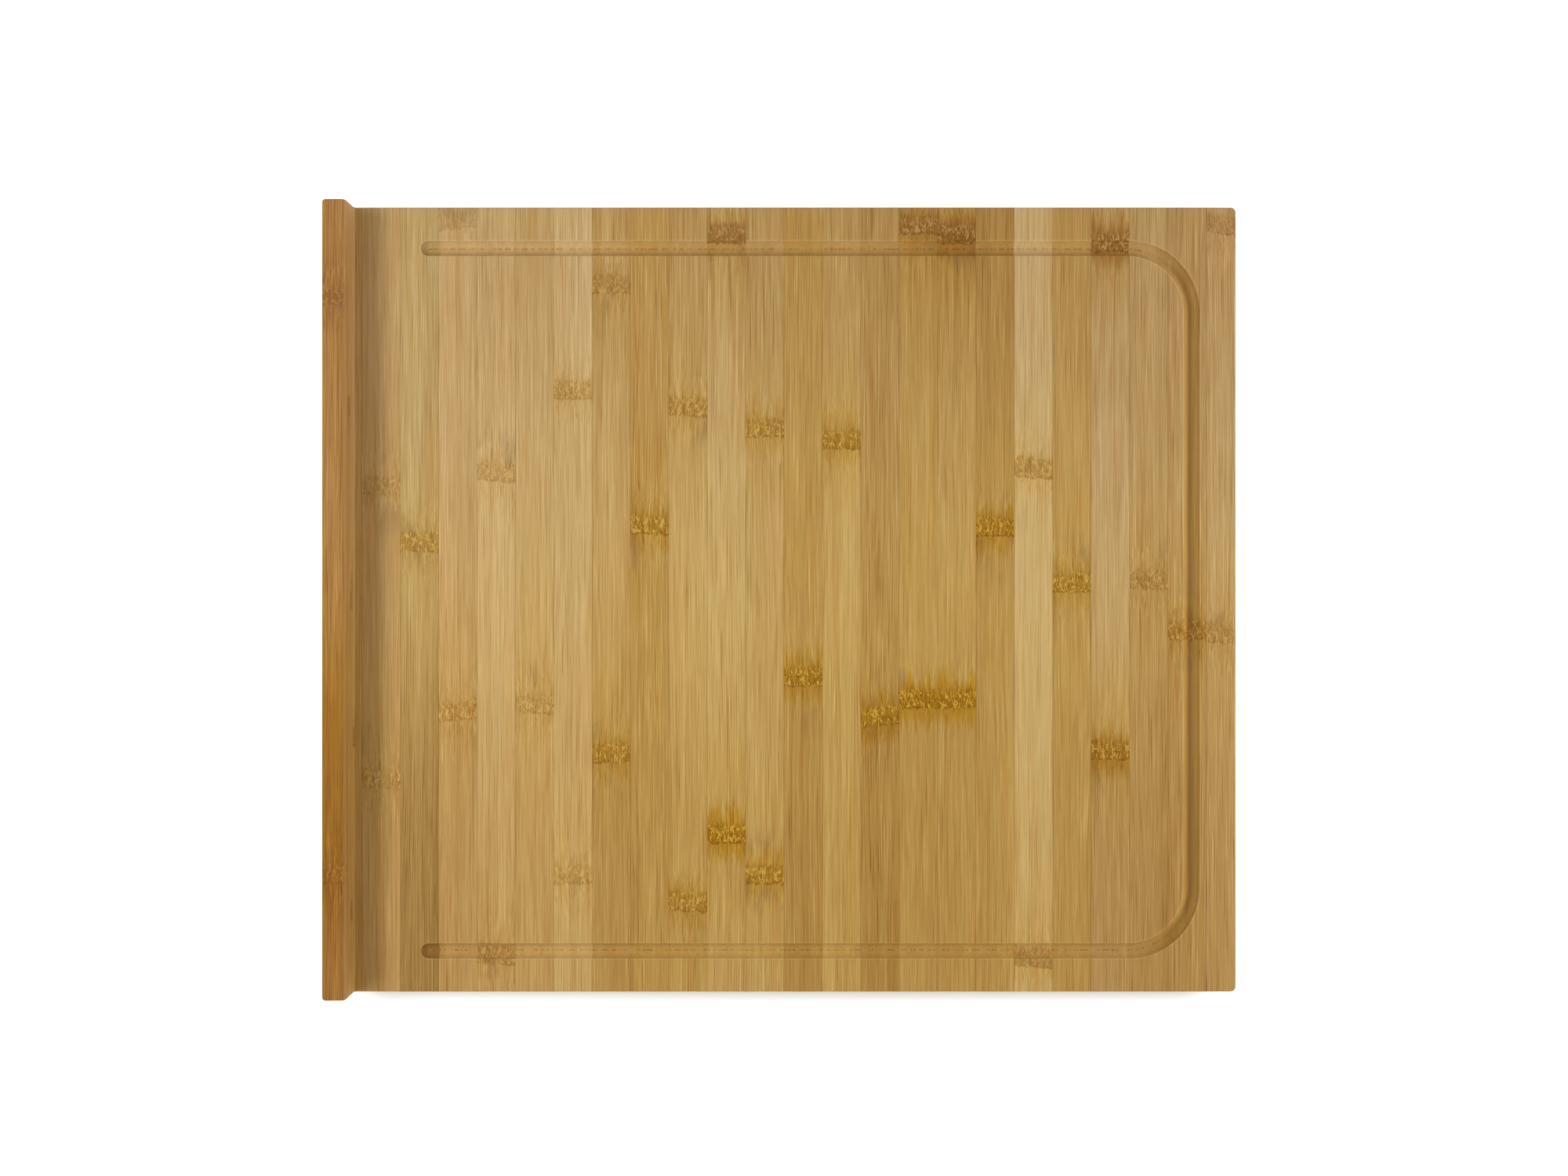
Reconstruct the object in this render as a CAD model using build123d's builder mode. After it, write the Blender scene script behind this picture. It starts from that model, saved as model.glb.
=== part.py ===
from build123d import *

import os

# Cutting board that stops against a worktop's edge.
#
# A three-ply bamboo panel carries a raised stop lip along one side and a U-shaped juice groove.
# The panel and the lip are glued up from strips, and the blanks are machined before they are
# sliced here into those strips, so every rounding and the groove run true from strip to strip.
#
# Frame: +Z up, origin at the centre of the underside, the lip along the -X side.
# The strips of both face plies run along Y, and those of the core ply run along X.

# Driving dimensions, in millimetres
board_length = 530.0        # along X, across the strips
board_width = 460.0         # along Y, along the strips
face_ply = 5.0              # thickness of the top and of the bottom ply
core_ply = 6.0
strip_width = 22.5          # a full face strip
core_strip_count = 20
core_strip_gap = 0.2        # the core strips lie side by side, unglued at their edges

lip_thickness = 13.5        # along X
lip_height = 22.0           # above the working face
lip_ply_count = 4
lip_corner_radius = 2.0     # upright outer corners of the lip and of the panel under it
lip_inner_round = 3.0       # long top edge that faces the working face

panel_corner_radius = 3.0   # the two upright corners away from the lip
edge_round = 1.0            # every other handled edge

groove_width = 9.2
groove_depth = 3.0
groove_side_inset = 24.0    # centre line to the two ends of the strips
groove_far_inset = 26.0     # centre line to the side away from the lip
groove_start = 56.5         # centre of the groove's rounded ends to the lip's outer face
groove_turn_radius = 37.5   # centre line at the two corners

# Sizes that follow
panel_thickness = 2 * face_ply + core_ply
full_strips = int(board_length // strip_width) - 1
end_strip_width = (board_length - full_strips * strip_width) / 2
core_pitch = (board_width + core_strip_gap) / core_strip_count
lip_ply = lip_height / lip_ply_count
groove_radius = groove_width**2 / (8 * groove_depth) + groove_depth / 2
groove_centre_z = panel_thickness - groove_depth + groove_radius
lip_side = -board_length / 2
far_side = board_length / 2

os.makedirs("parts", exist_ok=True)


def face_strip_edges():
    """X of each joint between face strips, with the panel's two sides."""
    inner = [lip_side + end_strip_width + i * strip_width for i in range(full_strips + 1)]
    return [lip_side, *inner, far_side]


def save(piece, name):
    """Label a finished piece and write it as its own STEP."""
    piece.label = name
    export_step(piece, f"parts/{name}.step")


# What a round-nosed cutter takes out along the groove, with a ball at each end
with BuildPart() as groove_void:
    with BuildLine(Plane.XY.offset(groove_centre_z)):
        groove_path = FilletPolyline(
            (lip_side + groove_start, board_width / 2 - groove_side_inset),
            (far_side - groove_far_inset, board_width / 2 - groove_side_inset),
            (far_side - groove_far_inset, groove_side_inset - board_width / 2),
            (lip_side + groove_start, groove_side_inset - board_width / 2),
            radius=groove_turn_radius,
        )
    with BuildSketch(Plane(origin=groove_path @ 0, z_dir=groove_path % 0)):
        Circle(groove_radius)
    sweep(path=groove_path)
    with Locations(groove_path @ 0, groove_path @ 1):
        # on its side, so that the ball's poles and seam stay clear of the wood
        Sphere(groove_radius, rotation=(0, -90, 0))

# The panel before it is sliced: outline, eased edges, full-height foot for the lip, groove
with BuildPart() as panel_blank:
    with BuildSketch() as outline:
        Rectangle(board_length, board_width)
        fillet(outline.vertices().group_by(Axis.X)[0], radius=lip_corner_radius)
        fillet(outline.vertices().group_by(Axis.X)[-1], radius=panel_corner_radius)
    extrude(amount=panel_thickness)
    fillet(panel_blank.faces().sort_by(Axis.Z)[0].edges(), radius=edge_round)
    fillet(panel_blank.faces().sort_by(Axis.Z)[-1].edges(), radius=edge_round)
    with BuildSketch(Plane.XY.offset(panel_thickness - edge_round)) as lip_foot:
        with Locations((lip_side, 0)):
            Rectangle(lip_thickness, board_width, align=(Align.MIN, Align.CENTER))
        fillet(lip_foot.vertices().group_by(Axis.X)[0], radius=lip_corner_radius)
    extrude(amount=edge_round)
    add(groove_void.part, mode=Mode.SUBTRACT)

# The lip before it is sliced: it stands on the panel's first strip
with BuildPart() as lip_blank:
    with BuildSketch(Plane.XY.offset(panel_thickness)) as lip_plan:
        with Locations((lip_side, 0)):
            Rectangle(lip_thickness, board_width, align=(Align.MIN, Align.CENTER))
        fillet(lip_plan.vertices().group_by(Axis.X)[0], radius=lip_corner_radius)
    extrude(amount=lip_height)
    lip_top = lip_blank.faces().sort_by(Axis.Z)[-1]
    fillet(lip_top.edges().filter_by(Axis.Y).sort_by(Axis.X)[-1], radius=lip_inner_round)
    end_edges = lip_blank.faces().filter_by(Axis.Y).edges()
    kept_square = lip_blank.edges().group_by(Axis.Z)[0] + end_edges.group_by(Axis.X)[0]
    fillet(end_edges - kept_square, radius=edge_round)

# Face plies: each strip is one slice of the panel, from the lip's side to the far side
strip_edges = face_strip_edges()
for number, (start, end) in enumerate(zip(strip_edges, strip_edges[1:]), start=1):
    with BuildPart() as top_strip:
        add(panel_blank.part)
        with Locations(((start + end) / 2, 0, panel_thickness)):
            Box(
                end - start, board_width, face_ply,
                align=(Align.CENTER, Align.CENTER, Align.MAX), mode=Mode.INTERSECT,
            )
    save(top_strip.part, f"top_strip_{number:02d}")

    with BuildPart() as bottom_strip:
        add(panel_blank.part)
        with Locations(((start + end) / 2, 0, 0)):
            Box(
                end - start, board_width, face_ply,
                align=(Align.CENTER, Align.CENTER, Align.MIN), mode=Mode.INTERSECT,
            )
    save(bottom_strip.part, f"bottom_strip_{number:02d}")

# Core ply: cross strips, one node of separate solids
with BuildPart() as core_strips:
    with Locations((0, 0, face_ply)):
        with GridLocations(1, core_pitch, 1, core_strip_count):
            Box(
                board_length, core_pitch - core_strip_gap, core_ply,
                align=(Align.CENTER, Align.CENTER, Align.MIN),
            )
    add(panel_blank.part, mode=Mode.INTERSECT)
save(core_strips.part, "core_strips")

# Lip plies, counted from the panel up
for number in range(1, lip_ply_count + 1):
    with BuildPart() as lip_strip:
        add(lip_blank.part)
        with Locations((lip_side, 0, panel_thickness + (number - 1) * lip_ply)):
            Box(
                lip_thickness, board_width, lip_ply,
                align=(Align.MIN, Align.CENTER, Align.MIN), mode=Mode.INTERSECT,
            )
    save(lip_strip.part, f"lip_ply_{number}")
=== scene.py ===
"""Looks of the cutting board: bamboo for every strip, a white table and two side lights."""
import random

import bpy
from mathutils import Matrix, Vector


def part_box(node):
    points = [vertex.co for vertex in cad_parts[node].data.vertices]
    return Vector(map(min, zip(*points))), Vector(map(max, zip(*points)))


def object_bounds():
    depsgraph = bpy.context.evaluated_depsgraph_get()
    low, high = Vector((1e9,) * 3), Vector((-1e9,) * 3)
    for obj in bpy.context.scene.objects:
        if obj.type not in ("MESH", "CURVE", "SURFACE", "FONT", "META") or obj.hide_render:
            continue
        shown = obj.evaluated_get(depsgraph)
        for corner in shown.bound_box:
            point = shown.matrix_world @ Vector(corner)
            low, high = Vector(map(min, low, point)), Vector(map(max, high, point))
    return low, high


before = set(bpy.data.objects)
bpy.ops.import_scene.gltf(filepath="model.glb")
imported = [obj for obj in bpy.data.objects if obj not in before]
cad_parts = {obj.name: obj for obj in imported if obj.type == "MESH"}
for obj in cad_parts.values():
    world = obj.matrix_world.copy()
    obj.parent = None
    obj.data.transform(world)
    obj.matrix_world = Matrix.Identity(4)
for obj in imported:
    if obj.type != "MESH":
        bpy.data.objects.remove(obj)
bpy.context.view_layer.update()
MM = 1000.0  # the shaders work in millimetres

low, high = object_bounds()
face_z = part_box("top_strip_12")[1].z      # height of the working face
lip_inner_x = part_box("lip_ply_4")[1].x    # the lip's inner face


# ---------------------------------------------------------------- camera

CAMERA_ABOVE_FACE = 0.98
CAMERA_BEHIND_CENTRE = 0.0068
SENSOR_WIDTH = 36.0     # mm
LENS = 38.38            # mm

camera_data = bpy.data.cameras.new("camera")
camera_data.sensor_width = SENSOR_WIDTH
camera_data.lens = LENS
camera = bpy.data.objects.new("camera", camera_data)
camera.location = (0.0, CAMERA_BEHIND_CENTRE, face_z + CAMERA_ABOVE_FACE)
bpy.context.scene.collection.objects.link(camera)
bpy.context.scene.camera = camera
bpy.context.scene.view_settings.view_transform = "Standard"


# ---------------------------------------------------------------- shader helpers

class Graph:
    """Short calls that add and wire the nodes of one shader tree."""

    def __init__(self, tree):
        self.tree = tree

    def node(self, kind, **settings):
        made = self.tree.nodes.new(kind)
        for key, value in settings.items():
            setattr(made, key, value)
        return made

    def put(self, socket, value):
        """Link a socket into this input, or set it to a number, vector or colour."""
        if isinstance(value, bpy.types.NodeSocket):
            self.tree.links.new(value, socket)
        else:
            socket.default_value = value

    def math(self, operation, *values, clamp=False):
        made = self.node("ShaderNodeMath", operation=operation, use_clamp=clamp)
        for socket, value in zip(made.inputs, values):
            self.put(socket, value)
        return made.outputs[0]

    def vector(self, operation, *values):
        made = self.node("ShaderNodeVectorMath", operation=operation)
        for socket, value in zip(made.inputs, values):
            self.put(socket, value)
        return made.outputs[1 if operation == "LENGTH" else 0]

    def combine(self, x=0.0, y=0.0, z=0.0):
        made = self.node("ShaderNodeCombineXYZ")
        for socket, value in zip(made.inputs, (x, y, z)):
            self.put(socket, value)
        return made.outputs[0]

    def separate(self, vector):
        made = self.node("ShaderNodeSeparateXYZ")
        self.put(made.inputs[0], vector)
        return made.outputs

    def noise(self, vector, detail=2.0, roughness=0.5, colour=False):
        made = self.node("ShaderNodeTexNoise")
        self.put(made.inputs["Vector"], vector)
        made.inputs["Scale"].default_value = 1.0
        made.inputs["Detail"].default_value = detail
        made.inputs["Roughness"].default_value = roughness
        return made.outputs["Color" if colour else "Fac"]

    def cells(self, vector):
        """Distance to the nearest of scattered points, one to a unit cell."""
        made = self.node("ShaderNodeTexVoronoi")
        self.put(made.inputs["Vector"], vector)
        made.inputs["Scale"].default_value = 1.0
        return made.outputs["Distance"]

    def ramp(self, value, start, end, low_value=0.0, high_value=1.0):
        """value's way from start to end, as a number from low_value to high_value."""
        made = self.node("ShaderNodeMapRange", clamp=True)
        made.interpolation_type = "SMOOTHSTEP"
        for name, number in (("From Min", start), ("From Max", end),
                             ("To Min", low_value), ("To Max", high_value)):
            self.put(made.inputs[name], number)
        self.put(made.inputs["Value"], value)
        return made.outputs[0]

    def mix(self, factor, a, b, blend="MIX"):
        made = self.node("ShaderNodeMix", data_type="RGBA", blend_type=blend)
        self.put(made.inputs[0], factor)
        self.put(made.inputs[6], a)
        self.put(made.inputs[7], b)
        return made.outputs[2]

    def mix_number(self, factor, a, b):
        """a where factor is 0, b where it is 1, and between them in between."""
        made = self.node("ShaderNodeMix", data_type="FLOAT")
        for socket, value in zip((made.inputs[0], made.inputs[2], made.inputs[3]), (factor, a, b)):
            self.put(socket, value)
        return made.outputs[0]

    def colours(self, value, stops):
        """A colour ramp through (position, colour) stops."""
        made = self.node("ShaderNodeValToRGB")
        elements = made.color_ramp.elements
        while len(elements) < len(stops):
            elements.new(0.5)
        for element, (position, colour) in zip(elements, stops):
            element.position = position
            element.color = colour
        self.put(made.inputs[0], value)
        return made.outputs[0]


def srgb(red, green, blue):
    """A colour given as it looks on screen, 0 to 255, as linear RGBA."""
    linear = []
    for part in (red, green, blue):
        part /= 255
        linear.append(part / 12.92 if part <= 0.04045 else ((part + 0.055) / 1.055) ** 2.4)
    return (*linear, 1.0)


# ---------------------------------------------------------------- bamboo

FAR_AWAY = 2000.0   # mm, where a knuckle that a strip doesn't have is put
FACE_HEIGHT = face_z * MM

# The groove, in mm. Its centre line is two legs across the strips, joined by a leg along the
# far side, and it ends near the lip.
GROOVE_EDGE = 4.6           # half its width
GROOVE_SIDE_INSET = 24.0    # centre line to the board's back and front
GROOVE_FAR_INSET = 26.0     # centre line to the far side
GROOVE_START = 56.5         # centre of the ball ends to the lip's outer face
GROOVE_TURN_RADIUS = 37.5
# the ball ends are darkened from here on, partly as cutter burn and partly as painted shade
GROOVE_BURN_SHADE_STARTS = 14.0   # past the centre of the ball ends
GROOVE_BURN_SHADE_FULL = 2.0
GROOVE_TURN_X = high.x * MM - GROOVE_FAR_INSET - GROOVE_TURN_RADIUS
GROOVE_TURN_Y = high.y * MM - GROOVE_SIDE_INSET - GROOVE_TURN_RADIUS
GROOVE_END_X = low.x * MM + GROOVE_START

GROUP_INPUTS = {    # name: default. Lengths in mm
    "seed": 0.0,
    "half width": 11.25,
    "tone back": 0.5,
    "tone middle": 0.5,
    "tone front": 0.5,
    "gold": 0.5,
    "lines": 0.5,
    "knuckle a": FAR_AWAY,
    "knuckle b": FAR_AWAY,
    "strength a": 0.6,
    "strength b": 0.6,
    "knuckle slope": 0.0,
    "dullness": 0.0,                # 0 golden knuckles, 1 dull reddish ones
    "groove distance": FAR_AWAY,    # across the groove from its centre line
    "groove heading": 0.0,          # 1 where the groove crosses the strips, 0 where it follows them
    "groove end": 0.0,              # 1 in its ball ends, where the cutter turned longest; darkened there as burn and as painted shade
}

WOOD_TONES = [      # from dark streaks to pale strips
    (0.00, srgb(138, 97, 46)),
    (0.25, srgb(165, 127, 73)),
    (0.50, srgb(183, 147, 93)),
    (0.75, srgb(199, 167, 115)),
    (1.00, srgb(215, 187, 138)),
]
GOLDEN = srgb(255, 249, 204)
REDDISH = srgb(255, 247, 236)
SMUDGE = srgb(138, 106, 66)
STAIN = srgb(242, 224, 108)
DULL_STAIN = srgb(228, 208, 170)
KNUCKLE_GROUND = srgb(164, 112, 0)
KNUCKLE_PALE = srgb(216, 172, 62)
WEAK_PALE = srgb(222, 186, 118)
DULL_GROUND = srgb(146, 98, 40)
DULL_PALE = srgb(190, 150, 90)
KNUCKLE_DARK = srgb(112, 68, 2)
GLUE_LINE = srgb(126, 90, 46)


class BambooGroup:
    """The shader group of one bamboo strip. Its point is across, along and up, in mm.

    Each method wires one part of it, and keeps what the later ones need. Noises are stretched
    by (across, along, up) factors, in features to the mm.
    """

    def __init__(self):
        self.tree = bpy.data.node_groups.new("bamboo_strip", "ShaderNodeTree")
        self.declare_sockets()
        g = self.g = Graph(self.tree)
        given = self.given = g.node("NodeGroupInput").outputs
        self.across, self.along, self.up = g.separate(given["point"])
        shift = g.combine(
            g.math("MULTIPLY", given["seed"], 17.31),
            g.math("MULTIPLY", given["seed"], 291.7),
            g.math("MULTIPLY", given["seed"], 7.73),
        )
        self.placed = g.vector("ADD", given["point"], shift)

        self.find_knuckle()
        self.lay_fibres()
        self.find_groove()
        wood = g.colours(self.lightness(), WOOD_TONES)
        wood = self.golden(wood)
        wood = self.blemished(wood)
        wood = self.stained(wood)
        wood = self.knuckle(wood)
        wood = self.glued(wood)

        roughness = g.math("MULTIPLY_ADD", self.hairs, -0.14, 0.62)
        roughness = g.math("MULTIPLY_ADD", self.shown, 0.08, roughness)
        result = g.node("NodeGroupOutput").inputs
        g.put(result["colour"], wood)
        g.put(result["roughness"], roughness)
        g.put(result["height"], self.height())

    def declare_sockets(self):
        face = self.tree.interface
        face.new_socket("point", in_out="INPUT", socket_type="NodeSocketVector")
        for name, default in GROUP_INPUTS.items():
            socket = face.new_socket(name, in_out="INPUT", socket_type="NodeSocketFloat")
            socket.default_value = default
        face.new_socket("colour", in_out="OUTPUT", socket_type="NodeSocketColor")
        face.new_socket("roughness", in_out="OUTPUT", socket_type="NodeSocketFloat")
        face.new_socket("height", in_out="OUTPUT", socket_type="NodeSocketFloat")

    def stretched(self, vector, factors, detail, roughness=0.5, colour=False):
        """Noise over a vector that is stretched by (across, along, up) factors."""
        vector = self.g.vector("MULTIPLY", vector, factors)
        return self.g.noise(vector, detail, roughness, colour)

    def find_knuckle(self):
        """mm past the nearer knuckle, counted toward the back, with an uneven and leaning edge."""
        g, given = self.g, self.given
        unevenness = self.stretched(self.placed, (0.45, 0.05, 0.3), 2.0)
        unevenness = g.math("MULTIPLY_ADD", unevenness, 4.0, -2.0)
        lean = g.math("MULTIPLY_ADD", self.across, given["knuckle slope"], unevenness)
        past_a = g.math("ADD", g.math("SUBTRACT", self.along, given["knuckle a"]), lean)
        past_b = g.math("ADD", g.math("SUBTRACT", self.along, given["knuckle b"]), lean)
        a_nearer = g.math("LESS_THAN", g.math("ABSOLUTE", past_a), g.math("ABSOLUTE", past_b))
        self.past = g.mix_number(a_nearer, past_b, past_a)
        self.strength = g.mix_number(a_nearer, given["strength b"], given["strength a"])
        self.away = g.math("ABSOLUTE", self.past)
        self.near = g.ramp(self.away, 34.0, 5.0)

    def lay_fibres(self):
        """Fibres run straight along the strip, and are short and crooked beside a knuckle."""
        g = self.g
        wander = self.stretched(self.placed, (0.35, 0.11, 0.35), 1.0, colour=True)
        wander = g.vector("SUBTRACT", wander, (0.5, 0.5, 0.5))
        wander = g.vector("MULTIPLY", wander, g.combine(self.near, 0.0, self.near))
        wander = g.vector("MULTIPLY", wander, (1.8, 0.0, 1.8))
        drift = self.stretched(self.placed, (0.04, 0.005, 0.04), 1.0, colour=True)
        drift = g.vector("MULTIPLY_ADD", drift, (4.0, 0.0, 4.0), (-2.0, 0.0, -2.0))
        grain = self.grain = g.vector("ADD", g.vector("ADD", self.placed, wander), drift)

        self.broad = self.stretched(grain, (0.17, 0.0022, 0.12), 2.0, 0.5)
        self.streaks = self.stretched(grain, (1.5, 0.005, 0.9), 2.0, 0.8)
        self.hairs = self.stretched(grain, (2.6, 0.03, 1.6), 2.0, 0.6)
        self.dashes = self.stretched(grain, (1.7, 0.085, 1.1), 2.0, 0.6)
        fibres = self.stretched(grain, (2.1, 0.019, 1.3), 1.0, 0.6)
        self.dark_fibres = g.ramp(fibres, 0.41, 0.33)
        self.pale_fibres = g.ramp(fibres, 0.60, 0.68)
        bundles = g.cells(g.vector("MULTIPLY", grain, (0.42, 0.008, 0.6)))
        self.bundles = g.ramp(bundles, 0.22, 0.08)

    def find_groove(self):
        """Where the groove is, and where it cuts along the fibres rather than across them."""
        g = self.g
        self.from_groove = g.math("ABSOLUTE", self.given["groove distance"])
        in_groove = g.ramp(self.from_groove, GROOVE_EDGE + 0.2, GROOVE_EDGE - 0.2)
        below_face = g.ramp(self.up, FACE_HEIGHT - 0.05, FACE_HEIGHT - 0.4)
        self.in_groove = g.math("MULTIPLY", in_groove, below_face)
        self.along_fibres = g.math("SUBTRACT", 1.0, self.given["groove heading"])
        self.shaded_along_fibres = g.math("MULTIPLY", self.in_groove, self.along_fibres)

    def lightness(self):
        """From 0 dark to 1 pale."""
        g, given = self.g, self.given
        back_half = g.ramp(self.along, 20.0, 220.0)
        front_half = g.ramp(self.along, 20.0, -160.0)
        tone_middle = given["tone middle"]
        to_back = g.math("SUBTRACT", given["tone back"], tone_middle)
        to_front = g.math("SUBTRACT", given["tone front"], tone_middle)
        tone = g.math("MULTIPLY_ADD", back_half, to_back, tone_middle)
        tone = g.math("MULTIPLY_ADD", front_half, to_front, tone)
        tone = g.math("MULTIPLY_ADD", g.math("SUBTRACT", self.broad, 0.5), 0.32, tone)
        plain_tone = tone

        streak_depth = g.math("MULTIPLY_ADD", given["lines"], 0.66, 0.30)
        tone = g.math("MULTIPLY_ADD", g.math("SUBTRACT", self.streaks, 0.5), streak_depth, tone)
        tone = g.math("MULTIPLY_ADD", g.math("SUBTRACT", self.hairs, 0.5), 0.66, tone)
        dash_depth = g.math("MULTIPLY_ADD", self.near, 0.75, 0.18)
        tone = g.math("MULTIPLY_ADD", g.math("SUBTRACT", self.dashes, 0.5), dash_depth, tone)
        bundle_depth = g.math("MULTIPLY", given["lines"], -0.30)
        tone = g.math("MULTIPLY_ADD", self.bundles, bundle_depth, tone)
        fibre_depth = g.math("MULTIPLY_ADD", given["lines"], 0.26, 0.13)
        fibre_tone = g.math("SUBTRACT", self.pale_fibres, self.dark_fibres)
        tone = g.math("MULTIPLY_ADD", fibre_tone, fibre_depth, tone)
        in_front = g.math("MULTIPLY", g.ramp(self.past, -60.0, -5.0), g.ramp(self.past, -3.0, -5.0))
        shade = g.math("MULTIPLY", g.math("MULTIPLY", in_front, self.strength), -0.06)
        tone = g.math("ADD", tone, shade)
        return self.groove_tone(tone, plain_tone)

    def groove_tone(self, tone, plain_tone):
        """The cutter smooths the grain and leaves its own marks on the groove; the rims get painted
        highlights, and the leg along the fibres and the ball ends get painted shade.
        """
        g, given = self.g, self.given
        heading = given["groove heading"]
        tone = g.mix_number(g.math("MULTIPLY", self.in_groove, 0.55), tone, plain_tone)
        # a dashed dark line on the bottom, across the strips
        dashed = self.stretched(self.placed, (0.55, 0.02, 0.02), 2.0, 0.7)
        dashed = g.ramp(dashed, 0.56, 0.44)
        bottom = g.ramp(self.from_groove, 0.75, 0.15)
        bottom = g.math("MULTIPLY", g.math("MULTIPLY", bottom, dashed), heading)
        tone = g.math("MULTIPLY_ADD", g.math("MULTIPLY", bottom, self.in_groove), -0.32, tone)
        # painted highlights on the rims: a pale line where the groove follows the fibres, and paler
        # steep rim walls where it crosses them
        from_rim = g.math("ABSOLUTE", g.math("SUBTRACT", self.from_groove, GROOVE_EDGE + 0.4))
        rim_highlight = g.math("MULTIPLY", g.ramp(from_rim, 0.5, 0.1), self.along_fibres)
        tone = g.math("MULTIPLY_ADD", rim_highlight, 0.22, tone)
        steep_rim_light = g.math(
            "MULTIPLY",
            g.ramp(self.from_groove, GROOVE_EDGE - 1.0, GROOVE_EDGE + 0.2),
            g.ramp(self.from_groove, GROOVE_EDGE + 0.4, GROOVE_EDGE + 0.2),
        )
        tone = g.math("MULTIPLY_ADD", g.math("MULTIPLY", steep_rim_light, heading), 0.26, tone)
        # painted shade: darker where the groove follows the fibres, and darker in the ball ends,
        # there partly cutter burn and partly painted shade
        tone = g.math("MULTIPLY_ADD", self.shaded_along_fibres, -0.10, tone)
        burn_and_shade = g.math("MULTIPLY", self.in_groove, given["groove end"])
        return g.math("MULTIPLY_ADD", burn_and_shade, -0.15, tone)

    def golden(self, wood):
        """More golden toward the front and around strong knuckles, and, as painted shade, where the
        groove cuts along the fibres.
        """
        g = self.g
        gold = g.math("ADD", self.given["gold"], g.ramp(self.along, 170.0, -70.0, -0.10, 0.42))
        # painted shade: the saturated colour of the shaded groove leg along the fibres
        gold = g.math("MULTIPLY_ADD", self.shaded_along_fibres, 0.6, gold)
        halo = g.math("MULTIPLY", g.ramp(self.away, 75.0, 8.0), self.strength)
        gold = g.math("MULTIPLY_ADD", halo, 0.45, gold, clamp=True)
        return g.mix(gold, wood, g.mix(1.0, wood, GOLDEN, "MULTIPLY"))

    def blemished(self, wood):
        """A reddish blush in places, and grey-brown smudges beside the knuckles."""
        g = self.g
        blush = self.stretched(self.grain, (0.25, 0.006, 0.2), 2.0, 0.6)
        wood = g.mix(g.ramp(blush, 0.45, 0.75), wood, g.mix(1.0, wood, REDDISH, "MULTIPLY"))
        smudge = self.stretched(self.placed, (0.07, 0.03, 0.05), 2.0)
        smudge = g.math("MULTIPLY", g.ramp(smudge, 0.55, 0.72), g.ramp(self.away, 45.0, 5.0))
        return g.mix(g.math("MULTIPLY", smudge, 0.45), wood, SMUDGE)

    def stained(self, wood):
        """Golden stain: full over the knuckle, in flames behind it, soon gone in front of it."""
        g = self.g
        flame_height = self.stretched(self.placed, (0.35, 0.02, 0.3), 2.0, 0.6)
        flame_height = g.ramp(flame_height, 0.36, 0.64, 1.0, 12.0)
        behind = g.ramp(g.math("SUBTRACT", self.past, flame_height), 11.0, 0.0)
        beard = g.ramp(flame_height, 1.0, 12.0, 7.0, 2.0)
        before = g.ramp(g.math("ADD", self.past, beard), -16.0, -3.0)
        stain = g.math("MULTIPLY", g.math("MULTIPLY", behind, before), self.strength)
        stain = g.math("MULTIPLY", stain, self.strength)
        # knuckles are duller near both ends of the board
        dullness = g.math("ADD", self.given["dullness"], g.ramp(self.along, 165.0, 205.0))
        front_dullness = g.ramp(self.along, -165.0, -205.0, 0.0, 0.5)
        self.dullness = g.math("ADD", dullness, front_dullness, clamp=True)
        stain_colour = g.mix(self.dullness, STAIN, DULL_STAIN)
        stained = g.mix(1.0, wood, stain_colour, "MULTIPLY")
        return g.mix(g.math("MULTIPLY", stain, 0.90), wood, stained)

    def knuckle(self, wood):
        """Pale squiggles on a dark ground, ticks and spikes at the back, a dark rim in front."""
        g, past, strength = self.g, self.past, self.strength
        frayed = self.stretched(self.placed, (0.9, 0.04, 0.8), 1.0)
        frayed = g.math("MULTIPLY_ADD", frayed, 7.0, past)
        band = g.math("MULTIPLY", g.ramp(past, -6.0, -5.2), g.ramp(frayed, 10.5, 7.0))
        squirm = self.stretched(self.placed, (0.55, 0.36, 0.55), 1.0, colour=True)
        squirm = g.vector("MULTIPLY_ADD", squirm, (2.2, 1.6, 2.2), self.placed)
        loops = self.stretched(squirm, (0.56, 0.12, 0.5), 1.0, 0.5)
        loops = g.math("ABSOLUTE", g.math("MULTIPLY_ADD", loops, 2.0, -1.0))
        self.squiggle = g.ramp(loops, 0.11, 0.03)
        outline = g.math("MULTIPLY", g.ramp(loops, 0.42, 0.20), g.ramp(loops, 0.06, 0.16))
        ticks = self.stretched(self.placed, (1.2, 0.13, 0.8), 1.0)
        ticks = g.math("MULTIPLY", g.ramp(ticks, 0.52, 0.60), g.ramp(past, -1.0, 3.0))
        specks = self.stretched(squirm, (1.1, 0.28, 1.0), 1.0)
        specks = g.ramp(specks, 0.50, 0.38)
        self.shown = g.math("MULTIPLY", band, g.math("MULTIPLY_ADD", strength, 0.5, 0.5))

        ground = g.math("MULTIPLY_ADD", strength, 0.90, -0.06, clamp=True)
        ground = g.math("MULTIPLY", band, ground)
        wood = g.mix(ground, wood, g.mix(self.dullness, KNUCKLE_GROUND, DULL_GROUND))
        dark = g.math("MAXIMUM", g.math("MULTIPLY", specks, 0.50), g.math("MULTIPLY", outline, 0.38))
        wood = g.mix(g.math("MULTIPLY", self.shown, dark), wood, KNUCKLE_DARK)
        pale = g.math(
            "MAXIMUM", g.math("MULTIPLY", self.squiggle, 0.85), g.math("MULTIPLY", ticks, 0.35)
        )
        pale_colour = g.mix(strength, WEAK_PALE, KNUCKLE_PALE)
        pale_colour = g.mix(self.dullness, pale_colour, DULL_PALE)
        wood = g.mix(g.math("MULTIPLY", self.shown, pale), wood, pale_colour)

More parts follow.
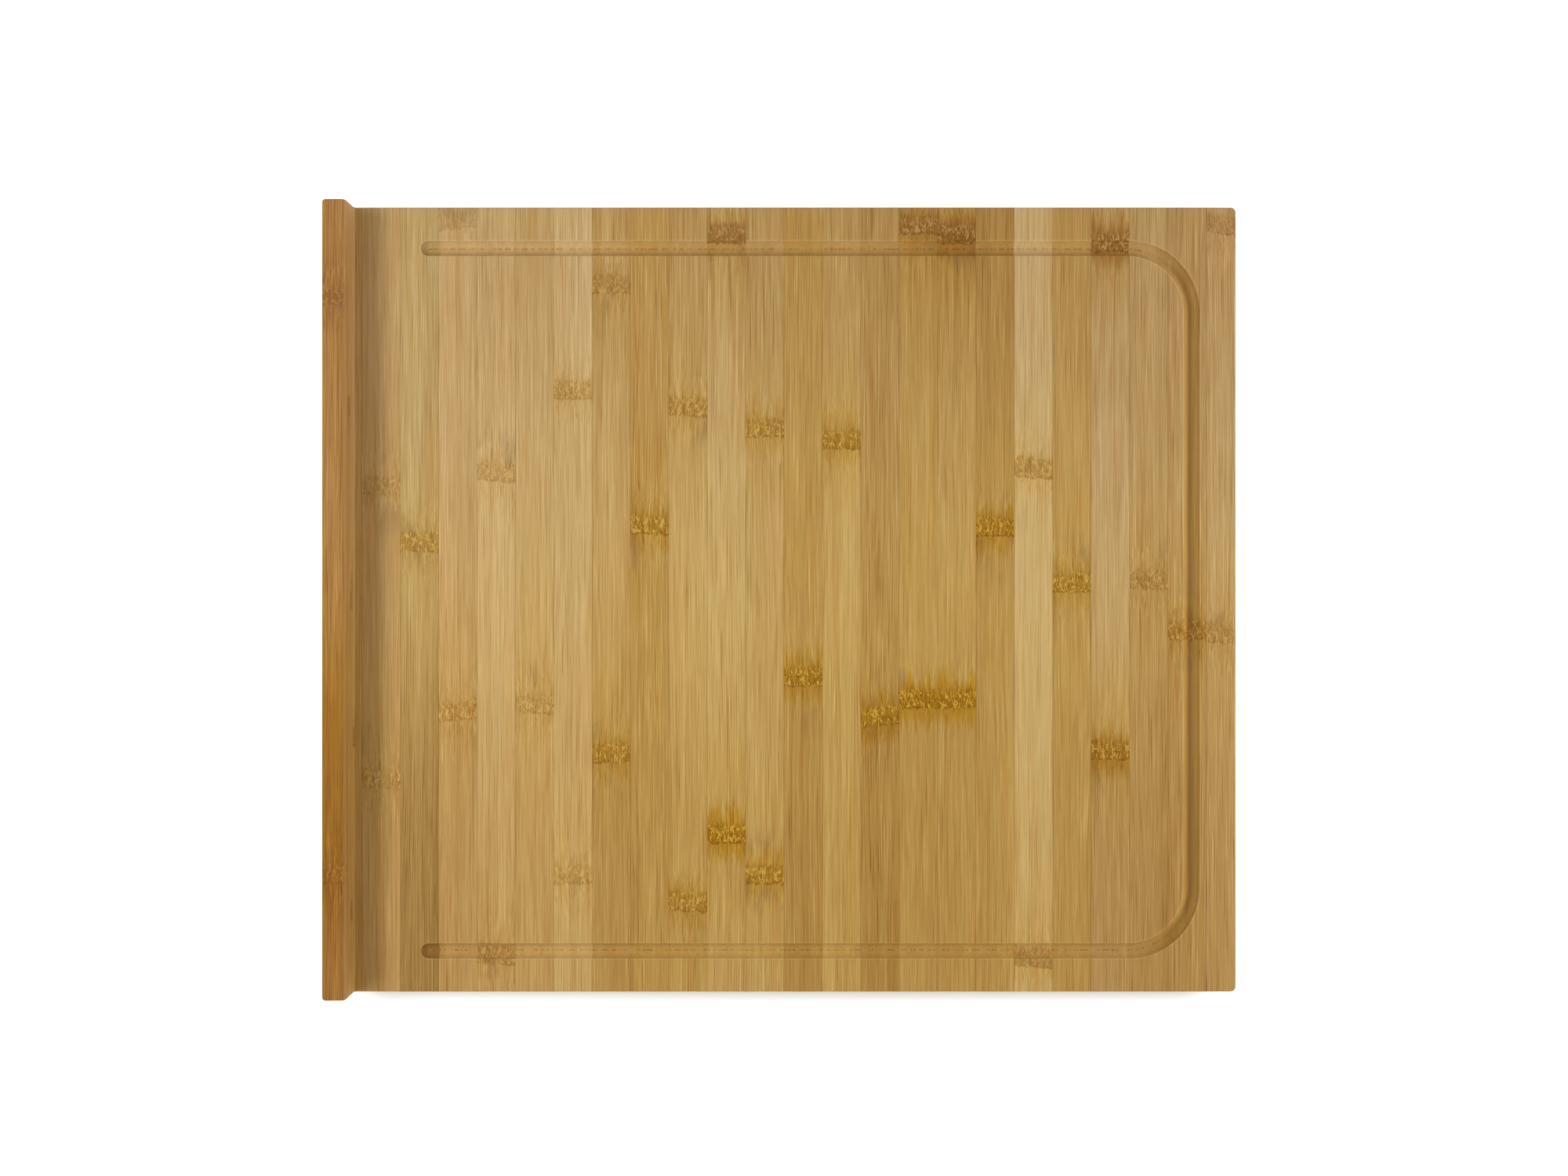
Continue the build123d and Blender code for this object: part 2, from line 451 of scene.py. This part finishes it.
        spikes = self.stretched(self.placed, (0.9, 0.03, 0.8), 1.0)
        spikes = g.math("MULTIPLY", g.ramp(spikes, 0.52, 0.38), g.ramp(past, 13.0, 4.0))
        spikes = g.math("MULTIPLY", g.math("MULTIPLY", spikes, g.ramp(past, 3.0, 5.0)), strength)
        wood = g.mix(g.math("MULTIPLY", spikes, 0.35), wood, KNUCKLE_DARK)
        rim = g.ramp(g.math("ABSOLUTE", g.math("ADD", past, 5.5)), 1.1, 0.2)
        rim_gaps = self.stretched(self.placed, (0.5, 0.1, 0.5), 1.0)
        rim = g.math("MULTIPLY", rim, g.ramp(rim_gaps, 0.38, 0.56))
        rim = g.math("MULTIPLY", rim, strength)
        return g.mix(g.math("MULTIPLY", rim, 0.6), wood, KNUCKLE_DARK)

    def glued(self, wood):
        """A patchy glue line at each side of the strip."""
        g, given = self.g, self.given
        to_side = g.math("SUBTRACT", given["half width"], g.math("ABSOLUTE", self.across))
        patchy = g.noise(g.combine(given["seed"], g.math("MULTIPLY", self.along, 0.03)), 3.0)
        patchy = g.ramp(patchy, 0.35, 0.65, 0.15, 0.6)
        seam = g.math("MULTIPLY", g.ramp(to_side, 0.42, 0.08), patchy)
        self.seam = g.math("MULTIPLY", seam, g.math("MULTIPLY_ADD", self.in_groove, -0.6, 1.0))
        return g.mix(self.seam, wood, GLUE_LINE)

    def height(self):
        """Relief for the bump: fibres, squiggles and seams, smoother in the groove."""
        g = self.g
        height = g.math("MULTIPLY_ADD", self.streaks, 0.5, g.math("MULTIPLY", self.hairs, 0.35))
        height = g.math("MULTIPLY_ADD", self.bundles, -0.15, height)
        squiggle = g.math("MULTIPLY", self.squiggle, self.shown)
        height = g.math("MULTIPLY_ADD", squiggle, 0.35, height)
        height = g.math("MULTIPLY_ADD", self.seam, -0.5, height)
        height = g.math("MULTIPLY", height, g.math("MULTIPLY_ADD", self.in_groove, -0.7, 1.0))
        rounded_rim = g.ramp(self.from_groove, GROOVE_EDGE + 0.5, GROOVE_EDGE + 0.1)
        return g.math("MULTIPLY_ADD", rounded_rim, -1.0, height)


BAMBOO = BambooGroup().tree


def row_point(g):
    """The surface point in the row frame, in mm."""
    here = g.node("ShaderNodeTexCoord").outputs["Object"]
    return g.vector("MULTIPLY", here, (MM, MM, MM))


def along_y(centre_x, seed):
    """Coordinates of a strip that runs along Y."""
    def point(g):
        return g.vector("SUBTRACT", row_point(g), (centre_x, 0.0, 0.0)), seed
    return point


def groove_inputs(g, strip):
    """Wire a strip's place along and across the groove, a U that opens toward the lip."""
    x, y, _ = g.separate(row_point(g))
    past_turn_x = g.math("MAXIMUM", g.math("SUBTRACT", x, GROOVE_TURN_X), 0.0)
    past_turn_y = g.math("MAXIMUM", g.math("SUBTRACT", g.math("ABSOLUTE", y), GROOVE_TURN_Y), 0.0)
    from_turn = g.vector("LENGTH", g.combine(past_turn_x, past_turn_y, 0.0))
    beside = g.math("SUBTRACT", from_turn, GROOVE_TURN_RADIUS)
    past_end = g.math("MAXIMUM", g.math("SUBTRACT", GROOVE_END_X, x), 0.0)
    distance = g.vector("LENGTH", g.combine(beside, past_end, 0.0))
    g.put(strip.inputs["groove distance"], distance)
    heading = g.ramp(x, GROOVE_TURN_X + GROOVE_TURN_RADIUS, GROOVE_TURN_X)
    g.put(strip.inputs["groove heading"], heading)
    end = g.ramp(x, GROOVE_END_X + GROOVE_BURN_SHADE_STARTS, GROOVE_END_X + GROOVE_BURN_SHADE_FULL)
    g.put(strip.inputs["groove end"], end)


WOOD_IOR = 1.45
WOOD_GLOSS = 0.16           # an oiled satin face
BUMP_STRENGTH = 0.35
BUMP_DISTANCE = 0.00025     # m


def bamboo_material(name, point, values, tint=None, grooved=False, finish=None):
    """A finished bamboo material.

    point(g) makes the strip's own coordinates in mm and its seed, values are inputs of the
    bamboo group, and finish(g, colour) may make a last change to the colour.
    """
    material = bpy.data.materials.new(name)
    material.use_nodes = True
    g = Graph(material.node_tree)
    g.tree.nodes.clear()
    strip = g.node("ShaderNodeGroup", node_tree=BAMBOO)
    vector, seed = point(g)
    g.put(strip.inputs["point"], vector)
    g.put(strip.inputs["seed"], seed)
    for key, value in values.items():
        strip.inputs[key].default_value = value
    if grooved:
        groove_inputs(g, strip)
    colour = strip.outputs["colour"]
    if tint is not None:
        colour = g.mix(1.0, colour, tint, "MULTIPLY")
    if finish is not None:
        colour = finish(g, colour)
    surface = g.node("ShaderNodeBsdfPrincipled")
    surface.inputs["IOR"].default_value = WOOD_IOR
    surface.inputs["Specular IOR Level"].default_value = WOOD_GLOSS
    g.put(surface.inputs["Base Color"], colour)
    g.put(surface.inputs["Roughness"], strip.outputs["roughness"])
    bump = g.node("ShaderNodeBump")
    bump.inputs["Strength"].default_value = BUMP_STRENGTH
    bump.inputs["Distance"].default_value = BUMP_DISTANCE
    g.put(bump.inputs["Height"], strip.outputs["height"])
    g.put(surface.inputs["Normal"], bump.outputs[0])
    g.put(g.node("ShaderNodeOutputMaterial").inputs[0], surface.outputs[0])
    return material


# Working face, from the lip to the far side. Lengths in mm.
# tones back, middle, front; gold; lines; slope; knuckles as (distance from the back end, strength)
TOP_STRIPS = [
    ((0.54, 0.55, 0.48), 0.3, 0.3, 0.0, ()),
    ((0.60, 0.56, 0.50), 0.0, 0.2, 0.05, ((163, 0.2), (335, 0.3))),
    ((0.61, 0.57, 0.18), 0.0, 0.4, 0.08, ((196, 0.5),)),
    ((0.64, 0.60, 0.44), 0.0, 0.3, -0.12, ((7, 0.2), (295, 0.4))),
    ((0.62, 0.75, 0.56), 0.0, 0.4, 0.10, ((155, 0.3), (438, 0.4))),
    ((0.57, 0.72, 0.56), 0.2, 0.4, 0.05, ((291, 0.3),)),
    ((0.76, 0.76, 0.67), 0.1, 0.5, 0.0, ((107, 0.4), (391, 0.35))),
    ((0.54, 0.67, 0.45), 0.4, 0.4, 0.0, ((45, 0.4), (320, 0.7))),
    ((0.51, 0.54, 0.48), 0.8, 0.6, 0.05, ((186, 0.7),)),
    ((0.50, 0.74, 0.55), 0.5, 0.5, 0.08, ((117, 0.5), (407, 0.7))),
    ((0.60, 0.81, 0.60), 0.4, 0.7, 0.0, ((15, 0.7), (367, 1.0))),
    ((0.49, 0.71, 0.62), 0.4, 0.6, 0.0, ((129, 0.6), (391, 0.8))),
    ((0.47, 0.58, 0.42), 0.9, 0.5, 0.0, ((275, 0.9),)),
    ((0.52, 0.76, 0.62), 0.6, 0.5, 0.0, ((136, 0.7),)),
    ((0.45, 0.54, 0.38), 0.6, 0.6, -0.10, ((298, 0.9),)),
    ((0.47, 0.66, 0.50), 0.8, 0.3, 0.0, ((10, 0.8), (288, 1.0))),
    ((0.42, 0.68, 0.52), 0.7, 0.4, 0.0, ((15, 1.0), (288, 1.0))),
    ((0.34, 0.56, 0.53), 0.8, 0.4, 0.0, ((187, 0.9),)),
    ((0.74, 0.89, 0.76), 0.2, 0.4, 0.10, ((153, 0.5), (440, 0.5))),
    ((0.46, 0.61, 0.50), 0.7, 0.4, 0.0, ((220, 0.7),)),
    ((0.52, 0.71, 0.44), 0.0, 0.4, 0.0, ((20, 1.0), (318, 1.0))),
    ((0.48, 0.54, 0.38), 0.15, 0.4, 0.05, ((218, 0.4),)),
    ((0.42, 0.55, 0.39), 0.15, 0.5, 0.0, ((248, 0.7),)),
    ((0.48, 0.57, 0.45), 0.0, 0.5, 0.10, ((10, 0.35), (250, 0.4))),
]


def strip_values(node, tones, gold, lines, slope, knuckles):
    """A strip's inputs of the bamboo group, and its centre's x in mm."""
    corner_low, corner_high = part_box(node)
    values = {
        "half width": (corner_high.x - corner_low.x) * MM / 2,
        "tone back": tones[0],
        "tone middle": tones[1],
        "tone front": tones[2],
        "gold": gold,
        "lines": lines,
        "knuckle slope": slope,
    }
    for letter, (distance, strength) in zip("ab", knuckles):
        values[f"knuckle {letter}"] = corner_high.y * MM - distance
        values[f"strength {letter}"] = strength
    return values, (corner_low.x + corner_high.x) * MM / 2


def finish_node(node, material):
    """Give a CAD node its material."""
    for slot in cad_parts[node].material_slots:
        slot.material = material


# The last strips have duller knuckles, and one strip near the lip is a little olive
FIRST_DULL_STRIP = 21
STRIP_DULLNESS = 0.4
OLIVE_STRIP = 3
OLIVE_TINT = srgb(248, 255, 252)

for number, looks in enumerate(TOP_STRIPS, start=1):
    node = f"top_strip_{number:02d}"
    values, centre_x = strip_values(node, *looks)
    if number >= FIRST_DULL_STRIP:
        values["dullness"] = STRIP_DULLNESS
    tint = OLIVE_TINT if number == OLIVE_STRIP else None
    point = along_y(centre_x, float(number))
    finish_node(node, bamboo_material(node, point, values, tint, grooved=True))

# The underside is the same bamboo, with knuckles and tones of its own
BOTTOM_SEED = 40.0
draw = random.Random(11)
for number in range(1, len(TOP_STRIPS) + 1):
    node = f"bottom_strip_{number:02d}"
    tone = draw.uniform(0.35, 0.70)
    tones = (tone + draw.uniform(-0.05, 0.05), tone + 0.05, tone - 0.05)
    gold = draw.uniform(0.1, 0.9)
    lines = draw.uniform(0.3, 0.6)
    slope = draw.uniform(-0.1, 0.1)
    knuckles = (
        (draw.uniform(10, 215), draw.uniform(0.3, 0.9)),
        (draw.uniform(250, 445), draw.uniform(0.3, 1.0)),
    )
    values, centre_x = strip_values(node, tones, gold, lines, slope, knuckles)
    finish_node(node, bamboo_material(node, along_y(centre_x, BOTTOM_SEED + number), values))


CORE_STRIPS = 20
CORE_SEED = 90.0
CORE_TINT = srgb(246, 238, 228)


def core_point(g):
    """Coordinates of the cross strips of the core, which run along X: each gets its own seed."""
    x, y, z = g.separate(row_point(g))
    pitch = (high.y - low.y) * MM / CORE_STRIPS
    steps = g.math("DIVIDE", g.math("SUBTRACT", y, low.y * MM), pitch)
    index = g.math("FLOOR", steps)
    across = g.math("MULTIPLY", g.math("SUBTRACT", g.math("SUBTRACT", steps, index), 0.5), pitch)
    return g.combine(across, x, z), g.math("ADD", index, CORE_SEED)


finish_node("core_strips", bamboo_material(
    "core_strips", core_point,
    {"tone back": 0.45, "tone middle": 0.5, "tone front": 0.4, "gold": 0.4, "lines": 0.6},
    CORE_TINT,
))

LIP_TOP_PLY = 4
LIP_PLY_HEIGHT = 5.5        # mm
LIP_SEED = 70.0
LIP_TINT = srgb(247, 236, 236)
LIP_STAIN = srgb(241, 233, 152)
LOWER_PLY_STAIN = 0.15      # of the top ply's
# colour of the painted highlight on the lip's upper inner edge
EDGE_HIGHLIGHT = srgb(212, 166, 104)
LIP_TONES = (0.27, 0.31, 0.16)      # back, middle, front
LIP_LIFT = {4: -0.01, 3: 0.34, 2: 0.39, 1: 0.52}    # the plies below the top one are paler
LIP_GOLD = 0.4
LIP_LINES = 0.4
LIP_DULLNESS = 1.0
LIP_KNUCKLES = {4: (55, 387), 3: (118,), 2: (230, 410), 1: (310,)}  # mm from the back end
LIP_KNUCKLE_STRENGTH = 0.4
LIP_NO_SEAM = 20.0      # mm, a half width beyond the lip, so that it shows no glue line


def lip_finish(stained):
    """The last change to a lip ply's colour, for bamboo_material.

    The lip is golden toward the front, by stained, and painted a little paler at its upper inner
    edge, a painted highlight where the rounded edge catches the light.
    """
    def finish(g, colour):
        x, y, z = g.separate(row_point(g))
        # none behind the middle, and less again at the front end
        toward_front = g.ramp(y, 30.0, -80.0, 0.0, stained)
        golden = g.math("MULTIPLY", toward_front, g.ramp(y, -235.0, -130.0))
        colour = g.mix(golden, colour, g.mix(1.0, colour, LIP_STAIN, "MULTIPLY"))
        inner_edge = lip_inner_x * MM
        ply_bottom = high.z * MM - LIP_PLY_HEIGHT
        # painted highlight: the top ply's rounded inner edge and the upper part of its inner face
        # are paler
        edge_highlight = g.ramp(x, inner_edge - 2.0, inner_edge - 0.3, 0.0, 0.40)
        edge_highlight = g.math("MULTIPLY", edge_highlight, g.ramp(z, ply_bottom, ply_bottom + 2.0))
        return g.mix(edge_highlight, colour, EDGE_HIGHLIGHT)
    return finish


for number, distances in LIP_KNUCKLES.items():
    node = f"lip_ply_{number}"
    knuckles = [(distance, LIP_KNUCKLE_STRENGTH) for distance in distances]
    tones = [tone + LIP_LIFT[number] for tone in LIP_TONES]
    values, centre_x = strip_values(node, tones, LIP_GOLD, LIP_LINES, 0.0, knuckles)
    values["half width"] = LIP_NO_SEAM
    values["dullness"] = LIP_DULLNESS
    point = along_y(centre_x, LIP_SEED + number)
    finish = lip_finish(stained=1.0 if number == LIP_TOP_PLY else LOWER_PLY_STAIN)
    finish_node(node, bamboo_material(node, point, values, LIP_TINT, finish=finish))


# ---------------------------------------------------------------- table and lights

TABLE_HALF = 3.0            # m
TABLE_GAP = 0.0002          # m, between the board and the table
TABLE_WHITE = (0.9, 0.9, 0.9, 1.0)
TABLE_ROUGHNESS = 0.9
TABLE_GLOW = 0.50           # enough to come out white
PAINTED_SHADE = 0.48                # painted shade, taken off the glow just in front of the board
PAINTED_SHADE_REACH = 0.016         # m
PAINTED_SHADE_SIDE_FADE = 0.03      # m


def white_table():
    """A white table just below the board, with a faint painted shade in front of the board."""
    half = TABLE_HALF
    mesh = bpy.data.meshes.new("table")
    corners = [(-half, -half, 0), (half, -half, 0), (half, half, 0), (-half, half, 0)]
    mesh.from_pydata(corners, [], [(0, 1, 2, 3)])
    table = bpy.data.objects.new("table", mesh)
    table.location.z = low.z - TABLE_GAP
    bpy.context.scene.collection.objects.link(table)
    material = bpy.data.materials.new("table_white")
    material.use_nodes = True
    surface = material.node_tree.nodes["Principled BSDF"]
    surface.inputs["Base Color"].default_value = TABLE_WHITE
    surface.inputs["Roughness"].default_value = TABLE_ROUGHNESS
    surface.inputs["Emission Color"].default_value = (1.0, 1.0, 1.0, 1.0)
    g = Graph(material.node_tree)
    x, y, _ = g.separate(g.node("ShaderNodeTexCoord").outputs["Object"])
    # painted shadow: the glow is lowered in a band just in front of the board
    in_front = g.math("MULTIPLY", g.ramp(y, low.y - PAINTED_SHADE_REACH, low.y), g.ramp(y, high.y, low.y))
    beside = g.ramp(g.math("ABSOLUTE", x), high.x, high.x - PAINTED_SHADE_SIDE_FADE)
    in_front = g.math("MULTIPLY", in_front, beside)
    glow = g.math("MULTIPLY_ADD", in_front, -PAINTED_SHADE, TABLE_GLOW)
    g.put(surface.inputs["Emission Strength"], glow)
    mesh.materials.append(material)


LIGHT_TARGET = (0.0, -0.03, 0.0)


def area_light(name, location, length, height, power):
    """A soft box at location that faces the board. Its length lies level. Metres and watts."""
    light = bpy.data.lights.new(name, "AREA")
    light.shape = "RECTANGLE"
    light.size = length
    light.size_y = height
    light.energy = power
    lamp = bpy.data.objects.new(name, light)
    lamp.location = location
    aim = Vector(LIGHT_TARGET) - Vector(location)
    lamp.rotation_euler = aim.to_track_quat("-Z", "Y").to_euler()
    bpy.context.scene.collection.objects.link(lamp)


BACKDROP_WHITE = 1.0
RING_LIGHT = 0.80
SIDE_LIGHT = 0.10       # all round, down to the table
LOWER_LIGHT = 0.60      # below the horizon
LIGHT_COLOUR = (1.0, 0.99, 0.97, 1.0)


def studio_world():
    """A high ring of soft light: darker near the table and where the camera hangs."""
    world = bpy.data.worlds.new("studio")
    bpy.context.scene.world = world
    world.use_nodes = True
    g = Graph(world.node_tree)
    background = world.node_tree.nodes["Background"]
    _, backward, height = g.separate(g.node("ShaderNodeTexCoord").outputs["Generated"])
    ring = g.math("MULTIPLY", g.ramp(height, 0.50, 0.80), g.ramp(height, 0.99, 0.93))
    ring = g.math("MULTIPLY", ring, g.math("MULTIPLY_ADD", backward, -0.75, 1.0))
    light = g.math("MULTIPLY_ADD", ring, RING_LIGHT, SIDE_LIGHT)
    # light from below reaches the board only where the table is left out
    light = g.math("ADD", light, g.ramp(height, -0.10, -0.40, 0.0, LOWER_LIGHT))
    # seen past the table's edge, the backdrop is as white as the table
    seen = g.node("ShaderNodeLightPath").outputs["Is Camera Ray"]
    strength = g.mix_number(seen, light, BACKDROP_WHITE)
    g.put(background.inputs["Strength"], strength)
    background.inputs["Color"].default_value = LIGHT_COLOUR


white_table()
area_light("left_softbox", (-0.70, -0.03, 0.51), length=1.0, height=0.25, power=4.5)
area_light("right_softbox", (0.82, -0.03, 0.24), length=1.2, height=0.18, power=5.4)
studio_world()
